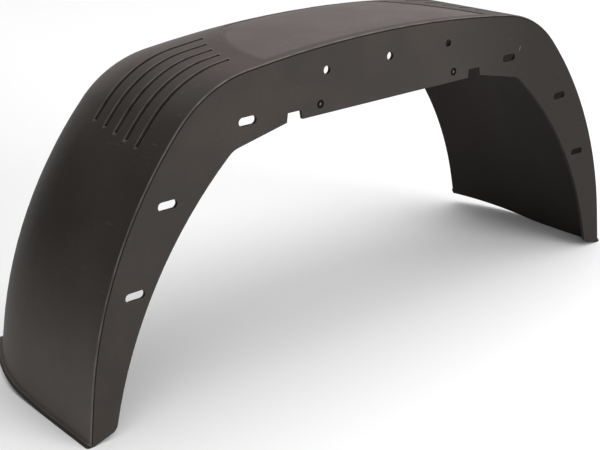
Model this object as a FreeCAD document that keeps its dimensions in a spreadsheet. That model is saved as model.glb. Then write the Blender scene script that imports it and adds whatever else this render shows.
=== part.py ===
# Trailer mudguard: one moulded plastic arch that stands on its two leg ends.
# X runs along the trailer, Y from the mounting flange to the rounded outer edge, Z up.
# The origin is on the ground, midway between the legs and midway across the width.
# Sizes are in millimetres and degrees.
import FreeCAD, Part
import math
import os

import Sketcher

SIZES = {
    # Arch line: the outer corner between the flange and the tread, seen from the side
    "foot_span": 780.4,
    "leg_lean": 7.5,
    "leg_straight": 46.5,
    "leg_radius": 446.0,
    "leg_turn": 35.0,
    "shoulder_radius": 133.0,
    "crown_angle": 7.4,
    # Section of the wall: flange, small corner, flat tread and the broad outer rounding, whose
    # free edge drops further below the tread on the crown and shoulders than at the foot
    "wall": 4.0,
    "corner_radius": 2.5,
    "tread_flat": 134.0,
    "outer_reach": 234.0,
    "crown_drop": 50.0,
    "foot_drop": 26.0,
    # Flange edge towards the wheel
    "flange_depth": 73.5,
    "flange_foot_width": 28.5,
    "edge_lean": 11.5,
    "edge_radius": 450.0,
    "edge_corner_radius": 25.0,
    "edge_slope": 12.0,
    "foot_slope": 17.0,
    "foot_corner_radius": 10.0,
    "notch_start": 121.0,
    "notch_width": 20.5,
    "notch_draft": 1.5,
    "notch_depth": 9.5,
    # Fixings through the flange
    "slot_width": 9.0,
    "slot_length": 22.0,
    "leg_slot_inset": 30.5,
    "low_slot_angle": 21.3,
    "middle_slot_angle": 33.8,
    "top_slot_inset": 49.0,
    "top_slot_angle": 78.0,
    "hole_diameter": 9.0,
    "hole_spacing": 88.0,
    "hole_drop": 29.0,
    "pilot_diameter": 8.5,
    "pilot_centre_diameter": 3.5,
    "pilot_depth": 1.2,
    "pilot_spacing": 97.5,
    "pilot_drop": 62.5,
    # Sunk into the tread: grooves across the shoulders and the grained panel on the crown
    "groove_depth": 2.4,
    "groove_width": 5.0,
    "groove_pitch": 21.0,
    "first_groove": 43.5,
    "groove_gap": 20.0,
    "groove_end": 290.0,
    "groove_stagger": 1.7,
    "panel_depth": 0.6,
    "panel_near": 11.0,
    "panel_far": 156.0,
    "panel_half_length": 160.0,
    "panel_end_radius": 210.0,
    "panel_corner_radius": 45.0,
    # Foot: outward lip, the share of its reach that is bevelled, and the rise of the lower edge
    "lip_reach": 3.5,
    "lip_height": 4.0,
    "lip_bevel_share": 0.45,
    "rise_start": 60.0,
    "rise_radius": 900.0,
}
GROOVE_COUNT = 5
# How far helper outlines run past the solid they meet
OVERRUN = 10.0

document = FreeCAD.newDocument("mudguard")
sheet = document.addObject("Spreadsheet::Sheet", "sizes")
for row, (alias, number) in enumerate(SIZES.items(), start=1):
    sheet.set(f"A{row}", alias)
    sheet.set(f"B{row}", str(number))
    sheet.setAlias(f"B{row}", alias)
document.recompute()

body = document.addObject("PartDesign::Body", "mudguard_shell")


def value(expression):
    """Present value of an expression on the sheet's sizes."""
    result = sheet.evalExpression(expression)
    return float(getattr(result, "Value", result))


def at(across, up):
    """Point in a sketch's plane."""
    return FreeCAD.Vector(across, up, 0)


def point(pair):
    """Point in a sketch's plane from a pair of expressions, None for zero."""
    return at(*(value(part) if part else 0 for part in pair))


def base_plane(owner, role):
    """One of a body's own origin planes."""
    return next(feature for feature in owner.Origin.OriginFeatures if feature.Role == role)


# Outlines are measured from the flange's fixing face, which lies half the width from the origin.
WIDTH = "(sizes.outer_reach + sizes.wall / 2)"
FACE_SHIFT = {
    "XZ_Plane": ("AttachmentOffset.Base.z", f"{WIDTH} / 2"),
    "YZ_Plane": ("AttachmentOffset.Base.x", f"-{WIDTH} / 2"),
    "XY_Plane": ("AttachmentOffset.Base.y", f"-{WIDTH} / 2"),
}


class Outline:
    """A sketch drawn edge by edge on a base plane, then tied down by sizes of the sheet."""

    START, END, CENTRE = range(1, 4)
    ORIGIN = (-1, 1)
    LEVEL, UPRIGHT = -1, -2
    FACING = FreeCAD.Vector(0, 0, 1)

    def __init__(self, owner, name, role):
        self.sketch = owner.newObject("Sketcher::SketchObject", name)
        self.sketch.AttachmentSupport = [(base_plane(owner, role), "")]
        self.sketch.MapMode = "FlatFace"
        self.sketch.setExpression(*FACE_SHIFT[role])

    def line(self, start, end):
        return self.sketch.addGeometry(Part.LineSegment(start, end), False)

    def arc(self, centre, radius, first, last):
        """Arc drawn anticlockwise between two angles in degrees."""
        circle = Part.Circle(centre, self.FACING, radius)
        piece = Part.ArcOfCircle(circle, math.radians(first), math.radians(last))
        return self.sketch.addGeometry(piece, False)

    def circle(self, centre, radius):
        return self.sketch.addGeometry(Part.Circle(centre, self.FACING, radius), False)

    def tie(self, kind, *references):
        return self.sketch.addConstraint(Sketcher.Constraint(kind, *references))

    def chain(self, joints):
        """Join edge ends: each joint is (kind, edge, end, edge, end)."""
        for joint in joints:
            self.tie(*joint)

    def size(self, kind, references, expression):
        """Bind a distance, radius or angle to an expression on the sheet."""
        number = value(expression)
        datum = math.radians(number) if kind == "Angle" else number
        index = self.tie(kind, *references, datum)
        self.sketch.setExpression(f"Constraints[{index}]", expression)

    def place(self, edge, end, pair):
        """Bind an edge's point to a pair of expressions from the origin."""
        self.size("DistanceX", (*self.ORIGIN, edge, end), pair[0])
        self.size("DistanceY", (*self.ORIGIN, edge, end), pair[1])

    def slot(self, start, end, width):
        """Level slot with round ends between two centres, all given as expressions."""
        first, last, radius = point(start), point(end), value(width) / 2
        up = at(0, radius)
        upper = self.line(first + up, last + up)
        right = self.arc(last, radius, -90, 90)
        lower = self.line(last - up, first - up)
        left = self.arc(first, radius, 90, 270)
        self.chain([
            ("Tangent", upper, self.END, right, self.END),
            ("Tangent", right, self.START, lower, self.START),
            ("Tangent", lower, self.END, left, self.END),
            ("Tangent", left, self.START, upper, self.START),
            ("Horizontal", upper),
            ("Horizontal", lower),
        ])
        self.size("Radius", (left,), f"({width}) / 2")
        self.place(left, self.CENTRE, start)
        self.size("DistanceX", (*self.ORIGIN, right, self.CENTRE), end[0])

    def bar(self, start, end, width):
        """Level bar with square ends between two middle points, all given as expressions."""
        first, last, half = point(start), point(end), at(0, value(width) / 2)
        upper = self.line(first + half, last + half)
        right = self.line(last + half, last - half)
        lower = self.line(last - half, first - half)
        left = self.line(first - half, first + half)
        self.chain([
            ("Coincident", upper, self.END, right, self.START),
            ("Coincident", right, self.END, lower, self.START),
            ("Coincident", lower, self.END, left, self.START),
            ("Coincident", left, self.END, upper, self.START),
            ("Horizontal", upper),
            ("Horizontal", lower),
            ("Vertical", right),
            ("Vertical", left),
        ])
        self.place(left, self.START, (start[0], f"{start[1]} - {width} / 2"))
        self.place(right, self.START, (end[0], f"{end[1]} + {width} / 2"))

    def ring(self, centre, diameter):
        """Circle about a centre given as expressions."""
        edge = self.circle(point(centre), value(diameter) / 2)
        self.size("Diameter", (edge,), diameter)
        self.size("DistanceY", (*self.ORIGIN, edge, self.CENTRE), centre[1])
        if centre[0] is None:
            self.tie("PointOnObject", edge, self.CENTRE, self.UPRIGHT)
        else:
            self.size("DistanceX", (*self.ORIGIN, edge, self.CENTRE), centre[0])


def sweep(owner, kind, layer):
    """Carry one layer of the wall's section over the crown and shoulder, then down the leg."""
    crown_drop, foot_drop = "sizes.crown_drop", "sizes.foot_drop"
    crown = draw_wall_section(owner, "crown_section", crown_drop, layer, ("0", ARCH_HEIGHT), "0")
    pipe(owner, kind, "crown_sweep", draw_crown_line(owner), crown)
    knee = draw_wall_section(owner, "knee_section", crown_drop, layer, KNEE, f"90 - {SHOULDER_FROM}")
    foot = draw_wall_section(owner, "foot_section", foot_drop, layer, LEG_FOOT, "90 - sizes.leg_lean")
    pipe(owner, kind, "leg_sweep", draw_leg_line(owner), knee, foot)


def pipe(owner, kind, name, path, profile, end_profile=None):
    """Sweep a section along a line, changing evenly to a second section where one is given."""
    swept = owner.newObject(kind, name)
    swept.Profile = profile.sketch
    swept.Spine = (path.sketch, [""])
    swept.Mode = "Standard"
    if end_profile:
        swept.Sections = [(end_profile.sketch, [""])]
        swept.Transformation = "Multisection"
    document.recompute()


def cut(name, profile, length=None, reverse=False):
    """Remove a profile, through everything or to a depth given as an expression."""
    before = body.Tip.Shape.Volume
    pocket = body.newObject("PartDesign::Pocket", name)
    pocket.Profile = profile.sketch
    pocket.Reversed = reverse
    if length is None:
        pocket.Type = "ThroughAll"
    else:
        pocket.Type = "Length"
        pocket.setExpression("Length", length)
    document.recompute()
    if pocket.Shape.isNull() or pocket.Shape.Volume >= before:
        raise RuntimeError(f"{name} removed nothing")


# Arch line, worked out from the ground up: straight foot, leg arc, shoulder arc and crown arc.
# The crown closes the arch level at the middle, so its radius and the height follow from the rest.
HALF_SPAN = "sizes.foot_span / 2"
LEG_TOP = (f"{HALF_SPAN} - sizes.leg_straight * tan(sizes.leg_lean)", "sizes.leg_straight")
LEG_CENTRE = (
    f"({LEG_TOP[0]} - sizes.leg_radius * cos(sizes.leg_lean))",
    f"({LEG_TOP[1]} - sizes.leg_radius * sin(sizes.leg_lean))",
)
SHOULDER_FROM = "(sizes.leg_lean + sizes.leg_turn)"
RADIUS_STEP = "(sizes.leg_radius - sizes.shoulder_radius)"
SHOULDER_CENTRE = (
    f"({LEG_CENTRE[0]} + {RADIUS_STEP} * cos({SHOULDER_FROM}))",
    f"({LEG_CENTRE[1]} + {RADIUS_STEP} * sin({SHOULDER_FROM}))",
)
CROWN_END = (
    f"({SHOULDER_CENTRE[0]} + sizes.shoulder_radius * sin(sizes.crown_angle))",
    f"({SHOULDER_CENTRE[1]} + sizes.shoulder_radius * cos(sizes.crown_angle))",
)
CROWN_RADIUS = f"({CROWN_END[0]} / sin(sizes.crown_angle))"
ARCH_HEIGHT = f"({CROWN_END[1]} + {CROWN_RADIUS} * (1 - cos(sizes.crown_angle)))"
# The knee is where the shoulder meets the leg, and the leg's line runs on to just below the ground.
KNEE = (
    f"({LEG_CENTRE[0]} + sizes.leg_radius * cos({SHOULDER_FROM}))",
    f"({LEG_CENTRE[1]} + sizes.leg_radius * sin({SHOULDER_FROM}))",
)
LEG_FOOT = (f"({HALF_SPAN} + {OVERRUN} * tan(sizes.leg_lean))", f"-{OVERRUN}")
# The flange's edge along the leg is an arc that would reach the ground at the foot's width.
EDGE_CENTRE = (
    f"({HALF_SPAN} - sizes.flange_foot_width - sizes.edge_radius * cos(sizes.edge_lean))",
    "(-sizes.edge_radius * sin(sizes.edge_lean))",
)


def draw_crown_line(owner):
    """Half of the crown and the shoulder, from the middle of the arch to the knee."""
    outline = Outline(owner, "crown_line", "XZ_Plane")
    crown, knee = value("sizes.crown_angle"), value(SHOULDER_FROM)
    crown_centre = at(0, value(ARCH_HEIGHT) - value(CROWN_RADIUS))
    crown_arc = outline.arc(crown_centre, value(CROWN_RADIUS), 90 - crown, 90)
    shoulder_arc = outline.arc(point(SHOULDER_CENTRE), value("sizes.shoulder_radius"), knee, 90 - crown)
    outline.chain([
        ("Tangent", crown_arc, outline.START, shoulder_arc, outline.END),
        ("PointOnObject", crown_arc, outline.CENTRE, outline.UPRIGHT),
        ("PointOnObject", crown_arc, outline.END, outline.UPRIGHT),
    ])
    outline.place(shoulder_arc, outline.START, KNEE)
    outline.size("Radius", (shoulder_arc,), "sizes.shoulder_radius")
    outline.size("Angle", (crown_arc,), "sizes.crown_angle")
    outline.size("DistanceY", (*outline.ORIGIN, crown_arc, outline.END), ARCH_HEIGHT)
    return outline


def draw_leg_line(owner):
    """The leg's arc from the knee and its straight end."""
    outline = Outline(owner, "leg_line", "XZ_Plane")
    lean = value("sizes.leg_lean")
    leg_arc = outline.arc(point(LEG_CENTRE), value("sizes.leg_radius"), lean, value(SHOULDER_FROM))
    leg_end = outline.line(point(LEG_TOP), point(LEG_FOOT))
    outline.tie("Tangent", leg_arc, outline.START, leg_end, outline.START)
    outline.place(leg_end, outline.START, LEG_TOP)
    outline.size("Angle", (leg_end,), "sizes.leg_lean - 90")
    outline.size("DistanceY", (leg_end, outline.END, *outline.ORIGIN), str(OVERRUN))
    outline.size("Radius", (leg_arc,), "sizes.leg_radius")
    outline.size("Angle", (leg_arc,), "sizes.leg_turn")
    return outline


def rounding(drop):
    """Radius and angle, as expressions, of the outer rounding whose free edge falls by a drop."""
    breadth = "(sizes.outer_reach - sizes.tread_flat)"
    angle = f"(2 * atan({drop} / {breadth}))"
    return f"({breadth} / sin({angle}))", angle


def draw_wall_section(owner, name, drop, layer, place, turn_out):
    """Section of one layer of the wall at a place on the arch line, turned outwards by an angle.

    The layer lies between two depths below the outer surface: down the flange, across the flat
    tread and over the broad rounding to the free outer edge. Its corner is rounded outside
    where a radius is given.
    """
    outline = Outline(owner, name, "YZ_Plane")
    quarter = FreeCAD.Rotation(FreeCAD.Vector(1, 0, 0), 90)
    outline.sketch.AttachmentOffset = FreeCAD.Placement(FreeCAD.Vector(), quarter)
    outline.sketch.setExpression("AttachmentOffset.Rotation.Angle", turn_out)
    outline.sketch.setExpression("AttachmentOffset.Base.z", place[0])
    outline.sketch.setExpression("AttachmentOffset.Base.y", place[1])
    outer, inner, corner_radius = layer
    near, far, flat = value(outer), value(inner), value("sizes.tread_flat")
    corner = value(corner_radius) if corner_radius else 0
    round_radius, round_angle = rounding(drop)
    radius, turn = value(round_radius), value(round_angle)
    bottom = -value("sizes.flange_depth") - OVERRUN
    round_centre = at(flat, -radius)
    edge_way = at(math.sin(math.radians(turn)), math.cos(math.radians(turn)))
    outer_end = round_centre + edge_way * (radius - near)
    inner_end = round_centre + edge_way * (radius - far)

    flange_face = outline.line(at(near, bottom), at(near, -near - corner))
    tread_top = outline.line(at(near + corner, -near), at(flat, -near))
    outer_round = outline.arc(round_centre, radius - near, 90 - turn, 90)
    free_edge = outline.line(outer_end, inner_end)
    inner_round = outline.arc(round_centre, radius - far, 90 - turn, 90)
    tread_under = outline.line(at(flat, -far), at(far, -far))
    flange_back = outline.line(at(far, -far), at(far, bottom))
    flange_end = outline.line(at(far, bottom), at(near, bottom))
    start, end, centre = outline.START, outline.END, outline.CENTRE
    outline.chain([
        ("Tangent", tread_top, end, outer_round, end),
        ("Coincident", outer_round, start, free_edge, start),
        ("Coincident", free_edge, end, inner_round, start),
        ("Tangent", inner_round, end, tread_under, start),
        ("Coincident", tread_under, end, flange_back, start),
        ("Coincident", flange_back, end, flange_end, start),
        ("Coincident", flange_end, end, flange_face, start),
        ("Vertical", flange_face),
        ("Vertical", flange_back),
        ("Horizontal", tread_top),
        ("Horizontal", tread_under),
        ("Horizontal", flange_end),
        ("Coincident", outer_round, centre, inner_round, centre),
        ("PointOnObject", outer_round, centre, free_edge),
    ])
    if corner_radius:
        outer_corner = outline.arc(at(near + corner, -near - corner), corner, 90, 180)
        outline.chain([
            ("Tangent", flange_face, end, outer_corner, end),
            ("Tangent", outer_corner, start, tread_top, start),
        ])
        outline.size("Radius", (outer_corner,), corner_radius)
        outline.place(outer_corner, centre, (f"{outer} + {corner_radius}", f"-{outer} - {corner_radius}"))
    else:
        outline.tie("Coincident", flange_face, end, tread_top, start)
        outline.place(tread_top, start, (outer, f"-{outer}"))
    outline.size("DistanceX", (flange_face, start, flange_back, end), f"{inner} - {outer}")
    outline.size("Radius", (outer_round,), f"{round_radius} - {outer}")
    outline.size("Radius", (inner_round,), f"{round_radius} - {inner}")
    outline.size("Angle", (outer_round,), round_angle)
    outline.size("DistanceX", (*outline.ORIGIN, outer_round, centre), "sizes.tread_flat")
    outline.size("DistanceY", (flange_face, start, *outline.ORIGIN), f"sizes.flange_depth + {OVERRUN}")
    return outline


def draw_wheel_opening():
    """Half of the opening that leaves the flange's edge, with its notch, over the wheel."""
    outline = Outline(body, "wheel_opening", "XZ_Plane")
    middle_height = f"({ARCH_HEIGHT} - sizes.flange_depth)"
    leg_inside = f"({HALF_SPAN} - sizes.wall)"
    slope, foot_slope = math.radians(value("sizes.edge_slope")), math.radians(value("sizes.foot_slope"))
    radius, foot_radius = value("sizes.edge_corner_radius"), value("sizes.foot_corner_radius")
    edge_radius, edge_centre = value("sizes.edge_radius"), point(EDGE_CENTRE)
    left, level = value("sizes.notch_start"), value(middle_height)
    width, draft, depth = value("sizes.notch_width"), value("sizes.notch_draft"), value("sizes.notch_depth")
    notch_out = at(left + width, level)
    foot = at(value(leg_inside), 0)

    def corner(begin, along, side, reach, way):
        """Centre and run of a corner beside a straight edge, at a reach from the leg edge's centre."""
        base = begin + side - edge_centre
        half = base.dot(along)
        run = way * math.sqrt(half * half - base.dot(base) + reach ** 2) - half
        middle = begin + side + along * run
        from_edge = middle - edge_centre
        return middle, run, math.degrees(math.atan2(from_edge.y, from_edge.x))

    along = at(math.cos(slope), -math.sin(slope))
    below_slope = at(-math.sin(slope), -math.cos(slope)) * radius
    corner_centre, run, meet = corner(notch_out, along, below_slope, edge_radius - radius, 1)
    inward = at(-math.cos(foot_slope), math.sin(foot_slope))
    above_foot = at(math.sin(foot_slope), math.cos(foot_slope)) * foot_radius
    foot_centre, foot_run, foot_meet = corner(foot, inward, above_foot, edge_radius + foot_radius, -1)

    middle = outline.line(at(-OVERRUN, level), at(left, level))
    notch_in = outline.line(at(left, level), at(left + draft, level + depth))
    notch_top = outline.line(at(left + draft, level + depth), at(left + width - draft, level + depth))
    notch_side = outline.line(at(left + width - draft, level + depth), notch_out)
    slope_edge = outline.line(notch_out, notch_out + along * run)
    edge_corner = outline.arc(corner_centre, radius, meet, 90 - math.degrees(slope))
    leg_edge = outline.arc(edge_centre, edge_radius, foot_meet, meet)
    foot_corner = outline.arc(foot_centre, foot_radius, 180 + foot_meet, 270 - math.degrees(foot_slope))
    foot_edge = outline.line(foot + inward * foot_run, foot)
    below = outline.line(foot, foot - at(0, OVERRUN))
    ground = outline.line(foot - at(0, OVERRUN), at(-OVERRUN, -OVERRUN))
    centre_line = outline.line(at(-OVERRUN, -OVERRUN), at(-OVERRUN, level))
    start, end, centre = outline.START, outline.END, outline.CENTRE
    outline.chain([
        ("Coincident", middle, end, notch_in, start),
        ("Coincident", notch_in, end, notch_top, start),
        ("Coincident", notch_top, end, notch_side, start),
        ("Coincident", notch_side, end, slope_edge, start),
        ("Tangent", slope_edge, end, edge_corner, end),
        ("Tangent", edge_corner, start, leg_edge, end),
        ("Tangent", leg_edge, start, foot_corner, start),
        ("Tangent", foot_corner, end, foot_edge, start),
        ("Coincident", foot_edge, end, below, start),
        ("Coincident", below, end, ground, start),
        ("Coincident", ground, end, centre_line, start),
        ("Coincident", centre_line, end, middle, start),
        ("Horizontal", middle),
        ("Horizontal", notch_top),
        ("Horizontal", ground),
        ("Vertical", below),
        ("Vertical", centre_line),
        ("Horizontal", middle, end, notch_side, end),
        ("PointOnObject", foot_edge, end, outline.LEVEL),
    ])
    outline.place(middle, end, ("sizes.notch_start", middle_height))
    outline.size("DistanceX", (middle, end, notch_side, end), "sizes.notch_width")
    outline.size("DistanceX", (notch_in, start, notch_in, end), "sizes.notch_draft")
    outline.size("DistanceX", (notch_side, start, notch_side, end), "sizes.notch_draft")
    outline.size("DistanceY", (notch_in, start, notch_in, end), "sizes.notch_depth")
    outline.size("Angle", (slope_edge,), "-sizes.edge_slope")
    outline.size("Radius", (edge_corner,), "sizes.edge_corner_radius")
    outline.size("Radius", (leg_edge,), "sizes.edge_radius")
    outline.place(leg_edge, centre, EDGE_CENTRE)
    outline.size("Radius", (foot_corner,), "sizes.foot_corner_radius")
    outline.size("Angle", (foot_edge,), "-sizes.foot_slope")
    outline.size("DistanceX", (*outline.ORIGIN, foot_edge, end), leg_inside)
    outline.size("DistanceY", (ground, end, *outline.ORIGIN), str(OVERRUN))
    outline.size("DistanceX", (ground, end, *outline.ORIGIN), str(OVERRUN))
    return outline


PANEL_CENTRE = "(sizes.panel_half_length - sizes.panel_end_radius)"


def draw_grooves(owner):
    """Plan of the grooves across one shoulder, which start at an even gap from the panel's end."""
    outline = Outline(owner, "groove_plan", "XY_Plane")
    reach = "(sizes.panel_end_radius + sizes.groove_gap)"
    for number in range(GROOVE_COUNT):
        across = f"(sizes.first_groove + {number} * sizes.groove_pitch)"
        begin = f"({PANEL_CENTRE} + sqrt({reach} ^ 2 - ({across} - sizes.panel_near) ^ 2))"
        end = f"(sizes.groove_end - {number} * sizes.groove_stagger)"
        outline.bar((begin, across), (end, across), "sizes.groove_width")
    return outline


def draw_panel(owner):
    """Plan of half of the panel: near edge, curved end, rounded far corner and far edge."""
    outline = Outline(owner, "panel_plan", "XY_Plane")
    near, far = value("sizes.panel_near"), value("sizes.panel_far")
    end_radius, corner_radius = value("sizes.panel_end_radius"), value("sizes.panel_corner_radius")
    end_x = value(PANEL_CENTRE)
    corner_y = far - corner_radius
    corner_x = end_x + math.sqrt((end_radius - corner_radius) ** 2 - (corner_y - near) ** 2)
    meet = math.degrees(math.atan2(corner_y - near, corner_x - end_x))

    near_edge = outline.line(at(-OVERRUN, near), at(end_x + end_radius, near))
    curved_end = outline.arc(at(end_x, near), end_radius, 0, meet)
    far_corner = outline.arc(at(corner_x, corner_y), corner_radius, meet, 90)
    far_edge = outline.line(at(corner_x, far), at(-OVERRUN, far))
    middle = outline.line(at(-OVERRUN, far), at(-OVERRUN, near))
    start, end, centre = outline.START, outline.END, outline.CENTRE
    outline.chain([
        ("Coincident", near_edge, end, curved_end, start),
        ("Tangent", curved_end, end, far_corner, start),
        ("Tangent", far_corner, end, far_edge, start),
        ("Coincident", far_edge, end, middle, start),
        ("Coincident", middle, end, near_edge, start),
        ("Horizontal", near_edge),
        ("Horizontal", far_edge),
        ("Vertical", middle),
        ("PointOnObject", curved_end, centre, near_edge),
    ])
    outline.place(near_edge, end, ("sizes.panel_half_length", "sizes.panel_near"))
    outline.size("DistanceY", (*outline.ORIGIN, far_edge, start), "sizes.panel_far")
    outline.size("Radius", (curved_end,), "sizes.panel_end_radius")
    outline.size("Radius", (far_corner,), "sizes.panel_corner_radius")
    outline.size("DistanceX", (middle, end, *outline.ORIGIN), str(OVERRUN))
    return outline


def draw_fixings():
    """Half of the fixing holes: three slots, one round hole and the one on the centre line."""
    outline = Outline(body, "fixings", "XZ_Plane")
    half_run = "(sizes.slot_length - sizes.slot_width) / 2"

    def slot_at(centre, radius, angle):
        middle_x = f"({centre[0]} + ({radius}) * cos({angle}))"
        middle_z = f"({centre[1]} + ({radius}) * sin({angle}))"
        outline.slot((f"{middle_x} - {half_run}", middle_z), (f"{middle_x} + {half_run}", middle_z),
                     "sizes.slot_width")

    leg_reach = "sizes.leg_radius - sizes.leg_slot_inset"
    slot_at(LEG_CENTRE, leg_reach, "sizes.low_slot_angle")
    slot_at(LEG_CENTRE, leg_reach, "sizes.middle_slot_angle")
    slot_at(SHOULDER_CENTRE, "sizes.shoulder_radius - sizes.top_slot_inset", "sizes.top_slot_angle")
    hole_height = f"{ARCH_HEIGHT} - sizes.hole_drop"
    outline.ring(("sizes.hole_spacing", hole_height), "sizes.hole_diameter")
    outline.ring((None, hole_height), "sizes.hole_diameter")
    return outline


def draw_pilot_mark():
    """Ring-shaped recess with a pip in the middle, which marks an extra drilling point."""
    outline = Outline(body, "pilot_mark", "XZ_Plane")
    middle = ("sizes.pilot_spacing", f"{ARCH_HEIGHT} - sizes.pilot_drop")
    outline.ring(middle, "sizes.pilot_diameter")
    outline.ring(middle, "sizes.pilot_centre_diameter")
    return outline


def draw_lip_band():
    """Plan of the outward lip, which follows the tread and the rounding at the foot."""
    outline = Outline(body, "lip_band", "XY_Plane")
    seat, reach, flat = value("sizes.wall") / 2, value("sizes.lip_reach"), value("sizes.tread_flat")
    round_radius, _ = rounding("sizes.foot_drop")
    radius = value(round_radius)
    outside = value(HALF_SPAN) + reach
    inside = value(HALF_SPAN) - seat
    round_centre = at(value(HALF_SPAN) - radius, flat)
    outer_turn = math.asin((value(WIDTH) - flat) / (radius + reach))
    inner_turn = math.asin((value(WIDTH) - flat) / (radius - seat))
    outer_end = round_centre + at(math.cos(outer_turn), math.sin(outer_turn)) * (radius + reach)
    inner_end = round_centre + at(math.cos(inner_turn), math.sin(inner_turn)) * (radius - seat)

    near_end = outline.line(at(inside, 0), at(outside - reach, 0))
    near_corner = outline.arc(at(outside - reach, reach), reach, -90, 0)
    outer_side = outline.line(at(outside, reach), at(outside, flat))
    outer_round = outline.arc(round_centre, radius + reach, 0, math.degrees(outer_turn))
    free_end = outline.line(outer_end, inner_end)
    inner_round = outline.arc(round_centre, radius - seat, 0, math.degrees(inner_turn))
    inner_side = outline.line(at(inside, flat), at(inside, 0))
    start, end, centre = outline.START, outline.END, outline.CENTRE
    outline.chain([
        ("Tangent", near_end, end, near_corner, start),
        ("Tangent", near_corner, end, outer_side, start),
        ("Tangent", outer_side, end, outer_round, start),
        ("Coincident", outer_round, end, free_end, start),
        ("Coincident", free_end, end, inner_round, end),
        ("Tangent", inner_round, start, inner_side, start),
        ("Coincident", inner_side, end, near_end, start),
        ("Vertical", outer_side),
        ("Vertical", inner_side),
        ("Horizontal", free_end),
        ("Coincident", outer_round, centre, inner_round, centre),
        ("PointOnObject", near_end, start, outline.LEVEL),
        ("PointOnObject", near_end, end, outline.LEVEL),
    ])
    outline.size("Radius", (near_corner,), "sizes.lip_reach")
    outline.size("DistanceX", (*outline.ORIGIN, outer_side, start), f"{HALF_SPAN} + sizes.lip_reach")
    outline.size("DistanceY", (*outline.ORIGIN, outer_round, centre), "sizes.tread_flat")
    outline.size("DistanceY", (*outline.ORIGIN, free_end, start), WIDTH)
    outline.size("Radius", (outer_round,), f"{round_radius} + sizes.lip_reach")
    outline.size("Radius", (inner_round,), f"{round_radius} - sizes.wall / 2")
    return outline


def draw_foot_line(name, lift, close):
    """Region on one side of the foot's lower line, level at first and then rising to the outside.

    The line is lifted by one expression and the region is closed at the level of another.
    """
    outline = Outline(body, name, "YZ_Plane")
    height, limit = value(lift), value(close)
    begin, radius = value("sizes.rise_start"), value("sizes.rise_radius") - height
    far_side = f"{WIDTH} + {OVERRUN}"
    far = value(far_side)
    turn = math.degrees(math.asin((far - begin) / radius))
    rise_centre = at(begin, height + radius)
    top = rise_centre.y - radius * math.cos(math.radians(turn))

    level = outline.line(at(-OVERRUN, height), at(begin, height))
    rise = outline.arc(rise_centre, radius, -90, turn - 90)
    far_line = outline.line(at(far, top), at(far, limit))
    limit_line = outline.line(at(far, limit), at(-OVERRUN, limit))
    near_line = outline.line(at(-OVERRUN, limit), at(-OVERRUN, height))
    start, end = outline.START, outline.END
    outline.chain([
        ("Tangent", level, end, rise, start),
        ("Coincident", rise, end, far_line, start),
        ("Coincident", far_line, end, limit_line, start),
        ("Coincident", limit_line, end, near_line, start),
        ("Coincident", near_line, end, level, start),
        ("Horizontal", level),
        ("Horizontal", limit_line),
        ("Vertical", far_line),
        ("Vertical", near_line),
    ])
    outline.size("DistanceX", (level, start, *outline.ORIGIN), str(OVERRUN))
    outline.size("DistanceX", (*outline.ORIGIN, level, end), "sizes.rise_start")
    outline.size("Radius", (rise,), f"sizes.rise_radius - {lift}")
    outline.size("DistanceX", (*outline.ORIGIN, rise, end), far_side)
    outline.size("DistanceY", (level, start, limit_line, end), f"{close} - {lift}")
    if height:
        outline.size("DistanceY", (*outline.ORIGIN, level, start), lift)
    else:
        outline.tie("PointOnObject", level, start, outline.LEVEL)
    return outline


# Foot lip: a band that follows the leaning leg, cut off at the lip's height and bevelled on top.
lip = body.newObject("PartDesign::Pad", "foot_lip")
lip.Profile = draw_lip_band().sketch
lip.UseCustomVector = True
lip.setExpression("Direction.x", "-sin(sizes.leg_lean)")
lip.setExpression("Direction.y", "0")
lip.setExpression("Direction.z", "cos(sizes.leg_lean)")
lip.setExpression("Length", "sizes.leg_straight")
document.recompute()
cut("lip_top", draw_foot_line("lip_top_line", "sizes.lip_height", "2 * sizes.leg_straight"), reverse=True)


def lip_edges(shape):
    """Names of the lip's outer upper edges: one face looks up, the other along the trailer."""
    looking = math.cos(math.radians(60))
    names = []
    for number, edge in enumerate(shape.Edges, start=1):
        middle = edge.valueAt((edge.FirstParameter + edge.LastParameter) / 2)
        faces = shape.ancestorsOfType(edge, Part.Face)
        normals = [face.normalAt(*face.Surface.parameter(middle)) for face in faces]
        if max(n.z for n in normals) > looking and max(n.x for n in normals) > looking:
            names.append(f"Edge{number}")
    return names


plain_lip = body.Tip
bevel = body.newObject("PartDesign::Chamfer", "lip_bevel")
bevel.Base = (plain_lip, lip_edges(plain_lip.Shape))
bevel.setExpression("Size", "sizes.lip_bevel_share * sizes.lip_reach")
document.recompute()

# Wall, swept along the arch.
PAST_WALL = "(2 * sizes.wall)"
sweep(body, "PartDesign::AdditivePipe", ("0", "sizes.wall", "sizes.corner_radius"))


def sink(name, draw_plan, depth):
    """Sink a plan into the tread by an even depth below its curved surface."""
    cutter = document.addObject("PartDesign::Body", f"{name}_cutter")
    prism = cutter.newObject("PartDesign::Pad", f"{name}_prism")
    prism.Profile = draw_plan(cutter).sketch
    prism.setExpression("Length", f"{ARCH_HEIGHT} + {OVERRUN}")
    document.recompute()
    sweep(cutter, "PartDesign::SubtractivePipe", (depth, PAST_WALL, None))
    sunk = body.newObject("PartDesign::Boolean", name)
    sunk.setObjects([cutter])
    sunk.Type = "Cut"
    document.recompute()


sink("shoulder_grooves", draw_grooves, "sizes.groove_depth")
sink("crown_panel", draw_panel, "sizes.panel_depth")

# Flange: the opening over the wheel, the fixing holes and the pilot marks.
cut("wheel_cut", draw_wheel_opening(), length=PAST_WALL)
cut("fixing_holes", draw_fixings(), length=PAST_WALL)
cut("pilot_marks", draw_pilot_mark(), length="sizes.pilot_depth")

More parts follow.
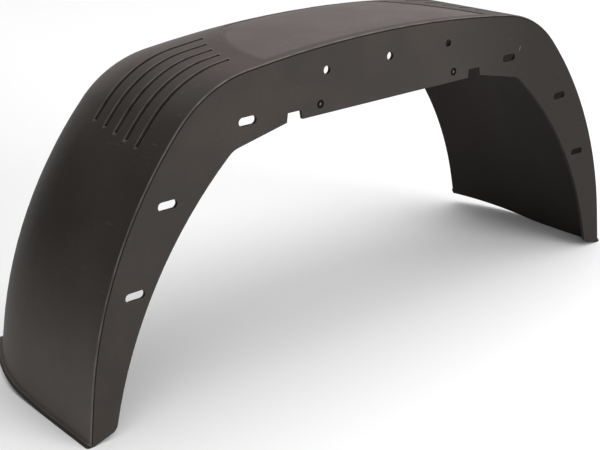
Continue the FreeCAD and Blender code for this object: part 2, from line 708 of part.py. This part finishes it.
# Foot: the lower edge.
cut("foot_cut", draw_foot_line("foot_line", "0", f"-({OVERRUN} + sizes.flange_depth)"), reverse=True)

# The other half is the mirror image.
whole = body.newObject("PartDesign::Mirrored", "whole_arch")
whole.TransformMode = "Whole shape"
whole.MirrorPlane = (base_plane(body, "YZ_Plane"), [""])
body.Tip = whole
document.recompute()

failed = [item.Name for item in document.Objects if {"Invalid", "Error"} & set(item.State)]
if failed:
    raise RuntimeError(f"failed features: {failed}")
shape = body.Shape
if shape.isNull() or not shape.isValid() or len(shape.Solids) != 1:
    raise RuntimeError("the shell is not one valid solid")

os.makedirs("parts", exist_ok=True)
shape.exportStep(os.path.join("parts", f"{body.Name}.step"))
box = shape.optimalBoundingBox(False)
print(f"{body.Name}: {box.XLength:.1f} x {box.YLength:.1f} x {box.ZLength:.1f} mm, "
      f"{shape.Volume / 1000:.0f} cm3, {len(shape.Faces)} faces")
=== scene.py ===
import math

import bmesh
import bpy
from mathutils import Matrix, Vector


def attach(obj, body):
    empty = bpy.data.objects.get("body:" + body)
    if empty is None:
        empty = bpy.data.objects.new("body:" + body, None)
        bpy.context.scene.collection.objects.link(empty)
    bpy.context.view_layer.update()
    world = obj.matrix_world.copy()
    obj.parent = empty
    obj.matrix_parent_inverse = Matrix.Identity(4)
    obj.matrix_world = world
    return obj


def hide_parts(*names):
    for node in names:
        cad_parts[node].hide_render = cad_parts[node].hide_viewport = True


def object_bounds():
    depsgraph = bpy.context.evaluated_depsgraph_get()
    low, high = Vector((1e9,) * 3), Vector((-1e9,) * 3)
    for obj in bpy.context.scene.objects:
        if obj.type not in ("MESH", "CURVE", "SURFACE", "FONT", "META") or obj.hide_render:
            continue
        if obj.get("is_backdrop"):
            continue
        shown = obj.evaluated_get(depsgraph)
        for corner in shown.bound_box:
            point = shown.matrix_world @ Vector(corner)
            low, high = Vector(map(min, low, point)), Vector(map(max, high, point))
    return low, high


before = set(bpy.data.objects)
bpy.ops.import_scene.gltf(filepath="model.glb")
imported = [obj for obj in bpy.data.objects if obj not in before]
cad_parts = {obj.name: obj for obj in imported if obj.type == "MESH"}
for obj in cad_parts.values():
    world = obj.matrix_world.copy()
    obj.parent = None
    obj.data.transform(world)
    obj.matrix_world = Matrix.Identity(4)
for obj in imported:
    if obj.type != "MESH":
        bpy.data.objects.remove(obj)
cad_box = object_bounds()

# The shell: the whole mudguard is one moulding of black plastic, taken to be polypropylene, with a 4 mm wall.
# It comes from the mould with its flange, feet, grooves and fixing holes, and nothing is added to it.
# Its facets are welded into one skin, and only the creases of the moulding stay sharp.
WELD = 2e-6
CREASE = math.radians(28)

skin = bmesh.new()
skin.from_mesh(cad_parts["mudguard_shell"].data)
bmesh.ops.remove_doubles(skin, verts=skin.verts, dist=WELD)
for face in skin.faces:
    face.smooth = True
for edge in skin.edges:
    edge.smooth = edge.calc_face_angle(0.0) < CREASE
welded = bpy.data.meshes.new("moulded_shell")
skin.to_mesh(welded)
skin.free()
welded.materials.clear()

shell = bpy.data.objects.new("moulded_shell", welded)
bpy.context.scene.collection.objects.link(shell)
shading = shell.modifiers.new("flat_faces_stay_flat", "WEIGHTED_NORMAL")
shading.keep_sharp = True
graph = bpy.context.evaluated_depsgraph_get()
shell.data = bpy.data.meshes.new_from_object(shell.evaluated_get(graph))
shell.modifiers.clear()


class Wire:
    """An output of a material's node, which can be used in sums and passed on to other nodes."""

    def __init__(self, socket):
        self.socket = socket

    def node(self, kind, settings, sockets, output=0):
        made = self.socket.id_data.nodes.new(kind)
        for name, setting in settings.items():
            setattr(made, name, setting)
        for name, value in sockets.items():
            if isinstance(value, Wire):
                self.socket.id_data.links.new(value.socket, made.inputs[name])
            else:
                made.inputs[name].default_value = value
        return Wire(made.outputs[output])

    def maths(self, operation, *values):
        return self.node("ShaderNodeMath", {"operation": operation}, dict(enumerate(values)))

    def __add__(self, other):
        return self.maths("ADD", self, other)

    def __sub__(self, other):
        return self.maths("SUBTRACT", self, other)

    def __rsub__(self, other):
        return self.maths("SUBTRACT", other, self)

    def __mul__(self, other):
        return self.maths("MULTIPLY", self, other)

    __radd__ = __add__
    __rmul__ = __mul__

    def __abs__(self):
        return self.maths("ABSOLUTE", self)

    def __round__(self):
        return self.maths("ROUND", self)

    def larger(self, other):
        return self.maths("MAXIMUM", self, other)

    def smaller(self, other):
        return self.maths("MINIMUM", self, other)

    def beside(self, other):
        """Length of the two as the sides of a right angle."""
        return self.maths("SQRT", self * self + other * other)

    def axes(self):
        """X, Y and Z of a vector."""
        first = self.node("ShaderNodeSeparateXYZ", {}, {0: self})
        return [Wire(output) for output in first.socket.node.outputs]

    def ramp(self, start, end, low=0.0, high=1.0):
        """Smooth change from low, where the value is at start, to high, where it is at end."""
        ends = {"From Min": start, "From Max": end, "To Min": low, "To Max": high}
        return self.node("ShaderNodeMapRange", {"interpolation_type": "SMOOTHSTEP"}, {"Value": self, **ends})

    def noise(self, size, detail=2.0, roughness=0.5):
        look = {"Vector": self, "Scale": 1 / size, "Detail": detail, "Roughness": roughness}
        return self.node("ShaderNodeTexNoise", {}, look)

    def blend(self, low, high):
        return self.node("ShaderNodeMix", {"data_type": "RGBA"}, {0: self, 6: low, 7: high}, output=2)


polypropylene = bpy.data.materials.new("black_polypropylene")
polypropylene.use_nodes = True
nodes = polypropylene.node_tree.nodes
plastic = nodes["Principled BSDF"]
place = Wire(nodes.new("ShaderNodeTexCoord").outputs["Object"])
facing = Wire(nodes.new("ShaderNodeNewGeometry").outputs["Normal"])
x, y, z = place.axes()
from_middle = abs(x)
from_fixing_face = y - cad_box[0].y
along_facing, across_facing, up_facing = facing.axes()
outward = along_facing * x.maths("SIGN", x) + 0.5 * up_facing
outer_side = outward.ramp(-0.3, 0.0)

# The panel sunk into the crown has straight sides, ends curved about points on the near side
# and round far corners.
PANEL_NEAR = cad_box[0].y + 0.011
PANEL_FAR = cad_box[0].y + 0.156
PANEL_HALF_LENGTH = 0.160
PANEL_END_RADIUS = 0.210
PANEL_CORNER_RADIUS = 0.045
from_end_centre = from_middle + (PANEL_END_RADIUS - PANEL_HALF_LENGTH)
past_end = from_end_centre.beside(y - PANEL_NEAR) - (PANEL_END_RADIUS - PANEL_CORNER_RADIUS)
past_far = y - (PANEL_FAR - PANEL_CORNER_RADIUS)
past_corner = past_end.larger(0.0).beside(past_far.larger(0.0)) - PANEL_CORNER_RADIUS
past_border = past_corner.larger(PANEL_NEAR - y)
on_panel = past_border.ramp(0.0004, -0.0060) * up_facing.ramp(0.3, 0.5)

# Five grooves run over each shoulder. Their floors are painted near-black as shade, and the tread beside them
# is painted lighter as a highlight, most on the side away from the flange.
FIRST_GROOVE = cad_box[0].y + 0.0435
LAST_GROOVE_NUMBER = 4
GROOVE_PITCH = 0.021
GROOVE_HALF_WIDTH = 0.0025
GROOVE_GAP = 0.020
GROOVE_END = 0.290
GROOVE_STAGGER = 0.0017
number = round((y - FIRST_GROOVE) * (1 / GROOVE_PITCH)).larger(0.0).smaller(LAST_GROOVE_NUMBER)
beside_groove = y - FIRST_GROOVE - number * GROOVE_PITCH
before_groove = (PANEL_CORNER_RADIUS + GROOVE_GAP) - past_end
after_groove = from_middle - GROOVE_END + number * GROOVE_STAGGER
past_groove = (abs(beside_groove) - GROOVE_HALF_WIDTH).larger(before_groove).larger(after_groove)
in_groove = past_groove.ramp(0.0001, -0.0003) * outer_side
# Painted highlight beside each groove, strongest on its far side.
groove_wall_highlight = past_groove.ramp(-0.0001, 0.0002) * past_groove.ramp(0.0022, 0.0009) * outer_side
groove_wall_highlight = groove_wall_highlight * beside_groove.ramp(-0.001, 0.0015, low=0.1)

# Two pilot marks on the flange: ring-shaped recesses painted dark as shade, round a pip with a painted
# highlight.
PILOT_SPACING = 0.0975
PILOT_HEIGHT = cad_box[1].z - 0.0625
PILOT_RADIUS = 0.00425
PIP_RADIUS = 0.00175
at_fixing_face = from_fixing_face.ramp(0.003, 0.002)
from_pilot = (from_middle - PILOT_SPACING).beside(z - PILOT_HEIGHT)
outer_rim = from_pilot.ramp(PILOT_RADIUS + 0.00065, PILOT_RADIUS + 0.00005)
inner_rim = from_pilot.ramp(PIP_RADIUS - 0.00055, PIP_RADIUS - 0.00005)
in_pilot = outer_rim * inner_rim * at_fixing_face
pip_highlight = from_pilot.ramp(PIP_RADIUS + 0.00005, PIP_RADIUS - 0.00045) * at_fixing_face

# Corners are eased as a mould leaves them, and the corners and the flange's bend are painted lighter as
# highlights.
# A line of painted shade lies under the bend, and one small painted glint marks the flange above its top
# right slot.
EASED_CORNER = 0.0012
HIGHLIGHT_PATCH = 0.016
GLINT_X, GLINT_Z = 0.2090, 0.2901
GLINT_HALF_WIDTH = 0.0008
GLINT_HALF_LENGTH = 0.0030
GLINT_SLANT = 0.43
eased = place.node("ShaderNodeBevel", {"samples": 4}, {"Radius": EASED_CORNER}, output="Normal")
agreement = eased.node("ShaderNodeVectorMath", {"operation": "DOT_PRODUCT"}, {0: eased, 1: facing}, output=1)
# Painted highlights on the convex corners and along the flange's bend.
corner_highlight = (1 - agreement).ramp(0.03, 0.25) * 0.85
by_flange = from_fixing_face.ramp(0.0050, 0.0035)
bend_highlight = across_facing.ramp(-0.10, -0.35) * across_facing.ramp(-0.85, -0.70) * by_flange
under_bend = across_facing.ramp(-0.75, -0.90) * across_facing.ramp(-0.9999, -0.995) * by_flange
patchy = 0.4 + 0.6 * place.noise(HIGHLIGHT_PATCH, detail=3.0).ramp(0.3, 0.65)
up_glint = z - GLINT_Z
across_glint = x - GLINT_X - up_glint * GLINT_SLANT
past_glint = (across_glint * (1 / GLINT_HALF_WIDTH)).beside(up_glint * (1 / GLINT_HALF_LENGTH))
on_glint = past_glint.ramp(1.2, 0.6) * by_flange
painted_highlight = (corner_highlight.larger(bend_highlight).larger(groove_wall_highlight) * patchy).larger(on_glint).larger(pip_highlight * 0.7)

# The lip round each foot is painted dark as the shadow where it meets the floor. Past a point the foot's edge
# rises on a wide arc.
RISE_START = cad_box[0].y + 0.060
RISE_RADIUS = 0.900
LIP_HEIGHT = 0.0040
past_rise = (y - RISE_START).larger(0.0)
above_foot = z - past_rise * past_rise * (0.5 / RISE_RADIUS)
# Painted contact shadow along the lip.
on_lip = above_foot.ramp(LIP_HEIGHT, LIP_HEIGHT - 0.0012) * outward.ramp(0.2, 0.6)

# The black plastic is clouded with brown dust, which has settled on level faces and along the far edge and is
# splashed up the feet, where the lighter foot is also painted reflection of the floor. The flange's right end
# is painted darker as shade, and so is the inside, with painted light on its part away from the flange.
BLACK = (0.0275, 0.0225, 0.0190, 1)
DUSTY = (0.0430, 0.0350, 0.0300, 1)
SETTLED = (0.0480, 0.0340, 0.0300, 1)
PANEL_TONE = (0.0700, 0.0490, 0.0450, 1)
SPLASH_AND_REFLECTION = (0.1000, 0.0850, 0.0750, 1)
FAR_DUST = (0.0900, 0.0720, 0.0670, 1)
INSIDE_SHADE = (0.0135, 0.0102, 0.0092, 1)
INSIDE_LIGHT = (0.0200, 0.0150, 0.0132, 1)
CLOUD_SIZE = 0.11
SPECKLE_SIZE = 0.0011
PEBBLES_PER_METRE = 420.0
cloud = place.noise(CLOUD_SIZE, detail=4.0, roughness=0.6)
speckle = place.noise(SPECKLE_SIZE)
pebbled = {"Vector": place, "Scale": PEBBLES_PER_METRE}
pebble = place.node("ShaderNodeTexVoronoi", {"feature": "SMOOTH_F1"}, pebbled)
uneven = cloud.ramp(0.3, 0.6)
clouded = 0.6 + 0.4 * uneven
dust = cloud.ramp(0.38, 0.72) * (0.55 + 0.45 * speckle.ramp(0.4, 0.6))
settled = up_facing.ramp(0.86, 1.0) * (0.55 + 0.45 * uneven)
# Lighter and browner towards the bottom of the feet: splashed dust and a painted reflection of the floor.
splash_and_reflection = z.ramp(0.20, 0.02) * outward.ramp(0.2, 0.6) * clouded
far_edge = y.ramp(-0.010, 0.040) * up_facing.ramp(0.55, 0.85) * (1 - on_panel) * clouded
# Painted shade: the flange darker towards its right end.
dark_end = x.ramp(0.08, 0.26) * across_facing.ramp(-0.90, -0.98) * by_flange
# Painted light on the inside, on its part away from the flange; the rest of the inside is painted shade.
inside_lit_part = y.ramp(0.014, 0.027) * z.ramp(0.02, 0.16) * clouded
colour = settled.blend(dust.blend(BLACK, DUSTY), SETTLED)
colour = (on_panel * (0.6 + 0.4 * pebble.ramp(0.0, 0.6))).blend(colour, PANEL_TONE)
colour = (splash_and_reflection * 0.75).blend(colour, SPLASH_AND_REFLECTION)
colour = (far_edge * (1 - in_groove)).blend(colour, FAR_DUST)
colour = (dark_end * 0.7).blend(colour, INSIDE_SHADE)
colour = outward.ramp(-0.05, -0.30).blend(colour, inside_lit_part.blend(INSIDE_SHADE, INSIDE_LIGHT))

# On top of the dust come fine level scuffs, the painted highlights and the painted shade.
SCUFF_AND_HIGHLIGHT = (0.1350, 0.1200, 0.1100, 1)
PAINTED_SHADE = (0.0060, 0.0050, 0.0045, 1)
SCUFF_LENGTH = 0.020
SCUFF_SQUEEZE = (1.0, 1.0, 8.0)
streaked = place.node("ShaderNodeMapping", {}, {"Vector": place, "Scale": SCUFF_SQUEEZE})
scuffs = streaked.noise(SCUFF_LENGTH).ramp(0.66, 0.76) * outward.ramp(-0.1, 0.1)
# Painted shade in the grooves, the pilot rings, under the bend and along the lip.
painted_shade_mask = in_groove.larger(in_pilot).larger(under_bend * 0.9).larger(on_lip * 0.8)
colour = (scuffs * 0.20).blend(colour, SCUFF_AND_HIGHLIGHT)
# Painted highlights on corners, the bend, beside the grooves, on the pips and the glint.
colour = (painted_highlight * 0.85).blend(colour, SCUFF_AND_HIGHLIGHT)
colour = painted_shade_mask.blend(colour, PAINTED_SHADE)

# A fine spark grain covers the whole moulding, and the panel has a coarser pebble on top of it.
# The grooves, pilot rings, the line under the bend and the flange's right end are duller, and the panel and
# the bend are a little smoother.
GRAIN_DEPTH = 0.0002
grain = speckle * 0.35 + on_panel * pebble
cut_in = {"Strength": 0.5, "Distance": GRAIN_DEPTH, "Height": grain, "Normal": eased}
grained = grain.node("ShaderNodeBump", {}, cut_in)
smoother = 0.09 * on_panel + 0.15 * bend_highlight
duller = 0.35 * in_groove + 0.35 * in_pilot + 0.3 * under_bend + 0.15 * dark_end
roughness = 0.57 + 0.08 * cloud.ramp(0.3, 0.7) - smoother + duller
links = polypropylene.node_tree.links
links.new(colour.socket, plastic.inputs["Base Color"])
links.new(roughness.socket, plastic.inputs["Roughness"])
links.new(grained.socket, plastic.inputs["Normal"])
plastic.inputs["Specular IOR Level"].default_value = 0.22

shell.data.materials.append(polypropylene)
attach(shell, "root")
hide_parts("mudguard_shell")

# The studio: a pale floor that runs out into a white surround, soft lamps above and in front,
# and a black flag, unseen by the camera, that keeps the light off the left leg.
FLOOR_HALF = 8.0
FLOOR_TONE = 0.95
FLAG_NEAR, FLAG_FAR = (-0.95, -0.35), (-0.62, 1.5)
FLAG_BOTTOM, FLAG_TOP = 0.1, 1.5
FLAG_TONE = 0.01
ROOM_LIGHT = 0.75


def sheet(name, corners, tone):
    mesh = bpy.data.meshes.new(name)
    mesh.from_pydata(corners, [], [(0, 1, 2, 3)])
    made = bpy.data.objects.new(name, mesh)
    bpy.context.scene.collection.objects.link(made)
    paper = bpy.data.materials.new(name)
    paper.use_nodes = True
    surface = paper.node_tree.nodes["Principled BSDF"]
    surface.inputs["Base Color"].default_value = (tone, tone, tone, 1)
    surface.inputs["Roughness"].default_value = 1.0
    surface.inputs["Specular IOR Level"].default_value = 0.0
    mesh.materials.append(paper)
    made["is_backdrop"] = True
    return made


around = ((-1, -1), (1, -1), (1, 1), (-1, 1))
sheet("studio_floor", [(FLOOR_HALF * i, FLOOR_HALF * j, 0.0) for i, j in around], FLOOR_TONE)
lower = [(*FLAG_NEAR, FLAG_BOTTOM), (*FLAG_FAR, FLAG_BOTTOM)]
upper = [(*FLAG_FAR, FLAG_TOP), (*FLAG_NEAR, FLAG_TOP)]
flag = sheet("black_flag", lower + upper, FLAG_TONE)
flag.visible_camera = False

surround = bpy.data.worlds.new("white_surround")
surround.use_nodes = True
bpy.context.scene.world = surround
ray = surround.node_tree.nodes.new("ShaderNodeLightPath")
seen = Wire(ray.outputs["Is Camera Ray"])
for kind in ("Is Glossy Ray", "Is Transmission Ray"):
    seen = seen.larger(Wire(ray.outputs[kind]))
strength = seen * (1.0 - ROOM_LIGHT) + ROOM_LIGHT
sky = surround.node_tree.nodes["Background"]
sky.inputs["Color"].default_value = (1, 1, 1, 1)
surround.node_tree.links.new(strength.socket, sky.inputs["Strength"])


def softbox(name, stand_at, aim, width, height, power):
    lamp = bpy.data.lights.new(name, "AREA")
    lamp.shape = "RECTANGLE"
    lamp.size, lamp.size_y, lamp.energy = width, height, power
    stand = bpy.data.objects.new(name, lamp)
    bpy.context.scene.collection.objects.link(stand)
    stand.location = stand_at
    stand.rotation_euler = (Vector(aim) - Vector(stand_at)).to_track_quat("-Z", "Y").to_euler()


softbox("overhead", stand_at=(0.2, 0.0, 3.2), aim=(0.2, 0.0, 0.0), width=4.0, height=4.0, power=60.0)
softbox("front", stand_at=(0.6, -2.1, 1.0), aim=(-0.1, 0.0, 0.15), width=1.2, height=1.0, power=22.0)

# The camera stands left of the fixing side, higher than the crown, and looks down on the arch.
VIEW_PLACE = Vector((-0.8656, -1.0055, 0.6025))
VIEW_TURN = math.radians(-39.76)
VIEW_TILT = math.radians(90 - 21.04)
VIEW_ROLL = math.radians(-1.03)
camera = bpy.data.objects.new("camera", bpy.data.cameras.new("camera"))
bpy.context.scene.collection.objects.link(camera)
camera.data.lens = 72.0
camera.data.sensor_width = 36.0
turn = Matrix.Rotation(VIEW_TURN, 4, "Z")
tilt = Matrix.Rotation(VIEW_TILT, 4, "X")
roll = Matrix.Rotation(VIEW_ROLL, 4, "Z")
camera.matrix_world = Matrix.Translation(VIEW_PLACE) @ turn @ tilt @ roll
bpy.context.scene.camera = camera
bpy.context.scene.view_settings.view_transform = "Standard"

{"cad": [list(p) for p in cad_box], "visual": [list(p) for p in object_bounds()]}
